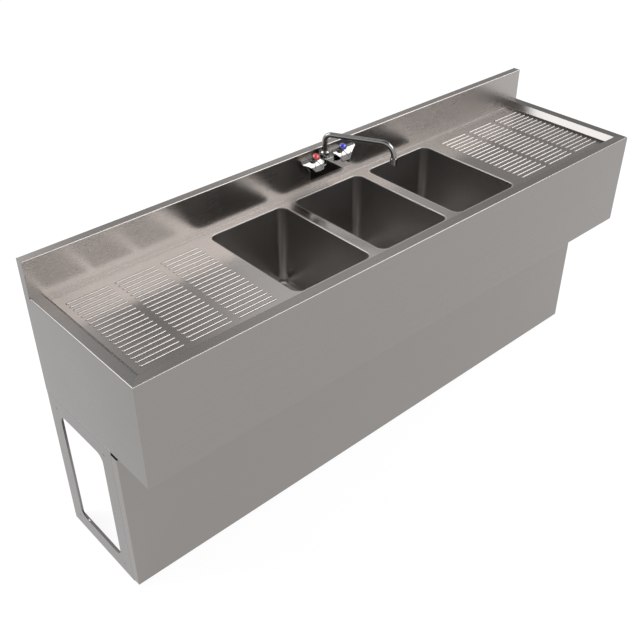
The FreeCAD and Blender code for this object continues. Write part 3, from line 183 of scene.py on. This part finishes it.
def brushed_steel(name, colour, grain, roughness=0.28, streak=0.008, anisotropy=0.20,
                  edge=0.18):
    """Stainless sheet brushed along the grain axis, with soft handling marks."""
    material, tree, shader = start_material(name)
    stretch = [GRAIN_ALONG if axis == grain else GRAIN_ACROSS for axis in "XYZ"]
    fine = noise(tree, object_coordinates(tree, stretch), 6.0, detail=2.0)
    wide = [GRAIN_ALONG * 0.6 if axis == grain else GRAIN_ACROSS * 0.12 for axis in "XYZ"]
    bands = noise(tree, object_coordinates(tree, wide), 2.0, detail=4.0, roughness=0.6)
    smudge = noise(tree, object_coordinates(tree, EVEN), 5.0, detail=3.0)
    wear_and_sheen = edge_wear_and_sheen(tree, SHEET_EDGE)
    shade = combine(tree, "MULTIPLY", spread(tree, bands, 1 - streak, 1 + streak),
                    spread(tree, fine, 0.99, 1.01))
    # edges lighter in colour: partly rubbed wear, partly a painted highlight
    shade = lightened_by_wear_and_sheen(tree, shade, wear_and_sheen, edge)
    tree.links.new(tinted(tree, colour, shade), shader.inputs["Base Color"])
    rough = combine(tree, "ADD", spread(tree, fine, roughness - 0.01, roughness + 0.01),
                    spread(tree, smudge, -0.015, 0.02))
    rough = combine(tree, "SUBTRACT", rough, combine(tree, "MULTIPLY", wear_and_sheen, WORN_SMOOTHER))
    tree.links.new(rough, shader.inputs["Roughness"])
    shader.inputs["Metallic"].default_value = 1.0
    shader.inputs["Anisotropic"].default_value = anisotropy
    shader.inputs["Anisotropic Rotation"].default_value = GRAIN_TURN
    direction = tree.nodes.new("ShaderNodeCombineXYZ")
    for axis in "XYZ":
        direction.inputs[axis].default_value = 1.0 if axis == grain else GRAIN_SKEW
    tree.links.new(direction.outputs["Vector"], shader.inputs["Tangent"])
    return material


def bowl_steel():
    """Drawn bowl: satin, slightly mottled, in steel made lighter as painted light."""
    material, tree, shader = start_material("bowl_satin_painted_light")
    mottled = noise(tree, object_coordinates(tree, EVEN), 18.0, detail=5.0)
    drawn = noise(tree, object_coordinates(tree, (40.0, 40.0, 3.0)), 5.0, detail=3.0)
    wear_and_sheen = edge_wear_and_sheen(tree, BOWL_EDGE)
    shade = combine(tree, "MULTIPLY", spread(tree, mottled, 0.98, 1.02),
                    spread(tree, drawn, 0.985, 1.015))
    # edges lighter in colour: partly rubbed wear, partly a painted highlight
    shade = lightened_by_wear_and_sheen(tree, shade, wear_and_sheen, 0.05)
    tree.links.new(tinted(tree, LIT_BOWL_STEEL, shade), shader.inputs["Base Color"])
    tree.links.new(spread(tree, mottled, 0.30, 0.33), shader.inputs["Roughness"])
    tree.links.new(bump(tree, drawn, 0.04, 0.02 * MM), shader.inputs["Normal"])
    shader.inputs["Metallic"].default_value = 1.0
    return material


def polished(name, colour, roughness, marks=0.03):
    """Plated or polished metal with faint wipe marks and water spots."""
    material, tree, shader = start_material(name)
    wipe = noise(tree, object_coordinates(tree, (1.0, 1.0, 3.0)), 60.0, detail=4.0)
    spots = noise(tree, object_coordinates(tree, EVEN), 400.0, detail=1.0)
    wear_and_sheen = edge_wear_and_sheen(tree, SMALL_EDGE)
    # edges lighter in colour: partly rubbed wear, partly a painted highlight
    shade = lightened_by_wear_and_sheen(tree, spread(tree, wipe, 0.96, 1.03), wear_and_sheen, 0.12)
    tree.links.new(tinted(tree, colour, shade), shader.inputs["Base Color"])
    rough = combine(tree, "ADD", spread(tree, wipe, roughness, roughness + marks),
                    spread(tree, spots, 0.0, marks, 0.6, 0.8))
    tree.links.new(rough, shader.inputs["Roughness"])
    shader.inputs["Metallic"].default_value = 1.0
    return material


def turned_metal(name, colour, roughness):
    """Turned or cast metal: fine rings about Z and a mottled colour."""
    material, tree, shader = start_material(name)
    rings = noise(tree, object_coordinates(tree, (1.0, 1.0, 60.0)), 30.0, detail=2.0)
    patina = noise(tree, object_coordinates(tree, EVEN), 90.0, detail=5.0)
    wear_and_sheen = edge_wear_and_sheen(tree, SMALL_EDGE)
    # edges lighter in colour: partly rubbed wear, partly a painted highlight
    shade = lightened_by_wear_and_sheen(tree, spread(tree, patina, 0.80, 1.10), wear_and_sheen, 0.25)
    tree.links.new(tinted(tree, colour, shade), shader.inputs["Base Color"])
    tree.links.new(spread(tree, patina, roughness - 0.06, roughness + 0.08),
                   shader.inputs["Roughness"])
    tree.links.new(bump(tree, rings, 0.15, 0.03 * MM), shader.inputs["Normal"])
    shader.inputs["Metallic"].default_value = 1.0
    return material


def moulded(name, colour, roughness, coat=0.0, grain=0.06):
    """Moulded plastic or rubber with a slight grain and colour drift."""
    material, tree, shader = start_material(name)
    texture = noise(tree, object_coordinates(tree, EVEN), 700.0, detail=3.0)
    drift = noise(tree, object_coordinates(tree, EVEN), 80.0, detail=2.0)
    tree.links.new(tinted(tree, colour, spread(tree, drift, 0.93, 1.06)),
                   shader.inputs["Base Color"])
    tree.links.new(spread(tree, drift, roughness, roughness + 0.06),
                   shader.inputs["Roughness"])
    tree.links.new(bump(tree, texture, grain, 0.05 * MM), shader.inputs["Normal"])
    shader.inputs["Coat Weight"].default_value = coat
    shader.inputs["Coat Roughness"].default_value = 0.04
    return material


# ================================================================ dress the pieces
def paint(material, *names):
    """Give a material to CAD nodes; a name ending in * takes every match."""
    for name in names:
        for node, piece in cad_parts.items():
            if node == name or (name.endswith("*") and node.startswith(name[:-1])):
                piece.data.materials.clear()
                piece.data.materials.append(material)


def dress():
    """Give every CAD node its finish."""
    # deck and splash in the lighter copy of the steel: painted light
    paint(brushed_steel("deck_brushed_painted_light", LIT_DECK_STEEL, "X", roughness=0.20, edge=0.02),
          "bowl_deck", "drainboard_*")
    paint(brushed_steel("splash_brushed_painted_light", LIT_DECK_STEEL, "X", roughness=0.27, edge=0.02),
          "backsplash")
    paint(brushed_steel("apron_brushed", STEEL, "X"), "front_apron")
    # end faces in the darker copy of the steel: painted shade
    paint(brushed_steel("end_brushed_painted_shade", SHADED_END_STEEL, "Y"), "end_apron_*", "end_panel_*")
    paint(brushed_steel("skirt_brushed", STEEL, "X", roughness=0.32), "front_skirt")
    paint(brushed_steel("hidden_steel", STEEL, "X", roughness=0.42), "rear_rail")
    paint(brushed_steel("channel_steel", STEEL, "Y", roughness=0.42), "deck_channel_*",
          "apron_corner_braces", "corner_plates_*")
    paint(bowl_steel(), "bowl_left", "bowl_middle", "bowl_right")
    # faucet and drains in the darkened chrome: painted dark reflection
    paint(polished("faucet_chrome_painted_dark", DARKENED_CHROME, 0.05), "faucet_body", "handle_hot", "handle_cold",
          "spout_nut", "spout_tube", "aerator_housing")
    paint(polished("drain_chrome", DARKENED_CHROME, 0.14, marks=0.08), "strainer_body_*",
          "crumb_strainer_*")
    paint(polished("fastener_steel", ZINC, 0.30, marks=0.08), "frame_bolts", "frame_nuts",
          "handle_screw_*", "shank_washers")
    paint(polished("rivet_steel", RIVET, 0.35, marks=0.08), "panel_rivets_*")
    paint(turned_metal("tail_plating", TAIL_PLATING, 0.30), "tailpiece_*",
          "drain_locknuts", "coupling_nuts")
    paint(turned_metal("valve_brass", BRASS, 0.28), "inlet_shanks", "shank_locknuts",
          "valve_bonnet_*", "valve_stem_*")
    paint(moulded("black_rubber", BLACK_RUBBER, 0.65, grain=0.2), "drain_gaskets",
          "spout_seal")
    paint(moulded("red_fibre", RED_FIBRE, 0.80, grain=0.3), "drain_friction_washers")
    paint(moulded("aerator_plastic", AERATOR_PLASTIC, 0.45), "aerator_insert")
    paint(moulded("red_button", BUTTON_RED, 0.12, coat=1.0, grain=0.0),
          "index_button_hot")
    paint(moulded("blue_button", BUTTON_BLUE, 0.12, coat=1.0, grain=0.0),
          "index_button_cold")


# ================================================================ stage
def white_where_seen(tree):
    """One for camera, glossy and transmission rays, zero for all others."""
    rays = tree.nodes.new("ShaderNodeLightPath")
    seen = combine(tree, "MAXIMUM", rays.outputs["Is Camera Ray"], rays.outputs["Is Glossy Ray"])
    return combine(tree, "MAXIMUM", seen, rays.outputs["Is Transmission Ray"])


def make_floor():
    """Plain floor: white where it is seen or mirrored, with the sink's shadow."""
    mesh = bpy.data.meshes.new("floor")
    half = FLOOR_HALF
    mesh.from_pydata([(-half, -half, 0), (half, -half, 0), (half, half, 0), (-half, half, 0)],
                     [], [(0, 1, 2, 3)])
    floor = bpy.data.objects.new("floor", mesh)
    bpy.context.collection.objects.link(floor)
    material = bpy.data.materials.new("floor_white")
    material.use_nodes = True
    tree = material.node_tree
    tree.nodes.clear()
    plain = tree.nodes.new("ShaderNodeBsdfDiffuse")
    plain.inputs["Color"].default_value = (*FLOOR_COLOUR, 1.0)
    glow = tree.nodes.new("ShaderNodeEmission")
    glow.inputs["Strength"].default_value = FLOOR_GLOW
    catch = tree.nodes.new("ShaderNodeBsdfDiffuse")
    catch.inputs["Color"].default_value = (FLOOR_CATCH,) * 3 + (1.0,)
    white = tree.nodes.new("ShaderNodeAddShader")
    tree.links.new(glow.outputs[0], white.inputs[0])
    tree.links.new(catch.outputs[0], white.inputs[1])
    mix = tree.nodes.new("ShaderNodeMixShader")
    tree.links.new(white_where_seen(tree), mix.inputs["Fac"])
    tree.links.new(plain.outputs[0], mix.inputs[1])
    tree.links.new(white.outputs[0], mix.inputs[2])
    output = tree.nodes.new("ShaderNodeOutputMaterial")
    tree.links.new(mix.outputs[0], output.inputs["Surface"])
    material.cycles.emission_sampling = "NONE"     # seen by rays, lights nothing by itself
    mesh.materials.append(material)


def pointing(azimuth, elevation):
    """Unit vector: azimuth from +Y towards +X and elevation, in degrees."""
    azimuth, elevation = math.radians(azimuth), math.radians(elevation)
    return Vector((math.sin(azimuth) * math.cos(elevation),
                   math.cos(azimuth) * math.cos(elevation), math.sin(elevation)))


def zones(tree, direction):
    """White studio with its brighter and dimmer parts."""
    level = STUDIO_LEVEL
    for azimuth, elevation, middle, rim, light in STUDIO_ZONES:
        towards = tree.nodes.new("ShaderNodeVectorMath")
        towards.operation = "DOT_PRODUCT"
        towards.inputs[1].default_value = pointing(azimuth, elevation)
        tree.links.new(direction, towards.inputs[0])
        part = spread(tree, towards.outputs["Value"], 0.0, light,
                      math.cos(math.radians(rim)), math.cos(math.radians(middle)))
        level = combine(tree, "ADD", part, level)
    return level


def make_world():
    """White for the camera; metal shows the studio's zones."""
    world = bpy.data.worlds.new("studio")
    bpy.context.scene.world = world
    world.use_nodes = True
    world.cycles.sampling_method = "NONE"
    tree = world.node_tree
    background = tree.nodes["Background"]
    background.inputs["Color"].default_value = (1.0, 1.0, 1.0, 1.0)
    source = tree.nodes.new("ShaderNodeTexCoord")
    dome = zones(tree, source.outputs["Generated"])
    rays = tree.nodes.new("ShaderNodeLightPath")
    matt = combine(tree, "SUBTRACT", 1.0, white_where_seen(tree))
    level = combine(tree, "ADD", combine(tree, "MULTIPLY", matt, AMBIENT),
                    rays.outputs["Is Camera Ray"])
    mirrored = combine(tree, "SUBTRACT", white_where_seen(tree), rays.outputs["Is Camera Ray"])
    level = combine(tree, "ADD", level, combine(tree, "MULTIPLY", mirrored, dome))
    tree.links.new(level, background.inputs["Strength"])


def softbox(name, azimuth, elevation, distance, size, radiance):
    """Rectangular light aimed at the deck from a direction in degrees."""
    lamp = bpy.data.lights.new(name, "AREA")
    lamp.shape = "RECTANGLE"
    lamp.size, lamp.size_y = size
    lamp.energy = radiance * math.pi * size[0] * size[1]
    holder = bpy.data.objects.new(name, lamp)
    away = pointing(azimuth, elevation)
    holder.location = LAMP_AIM + away * distance
    holder.rotation_euler = away.to_track_quat("Z", "Y").to_euler()
    holder.visible_camera = False
    bpy.context.collection.objects.link(holder)


def make_lights():
    for lamp in SOFTBOXES:
        softbox(*lamp)


def make_camera():
    """Camera at the photograph's place."""
    camera = bpy.data.cameras.new("photo_view")
    camera.lens = CAMERA_LENS
    camera.sensor_width = SENSOR
    holder = bpy.data.objects.new("photo_view", camera)
    holder.location = CAMERA_SPOT
    look = pointing(CAMERA_YAW, -CAMERA_DROP)
    holder.rotation_euler = look.to_track_quat("-Z", "Y").to_euler()
    bpy.context.collection.objects.link(holder)
    bpy.context.scene.camera = holder


make_camera()
make_floor()
make_world()
make_lights()
dress()
bpy.context.scene.view_settings.view_transform = "Standard"
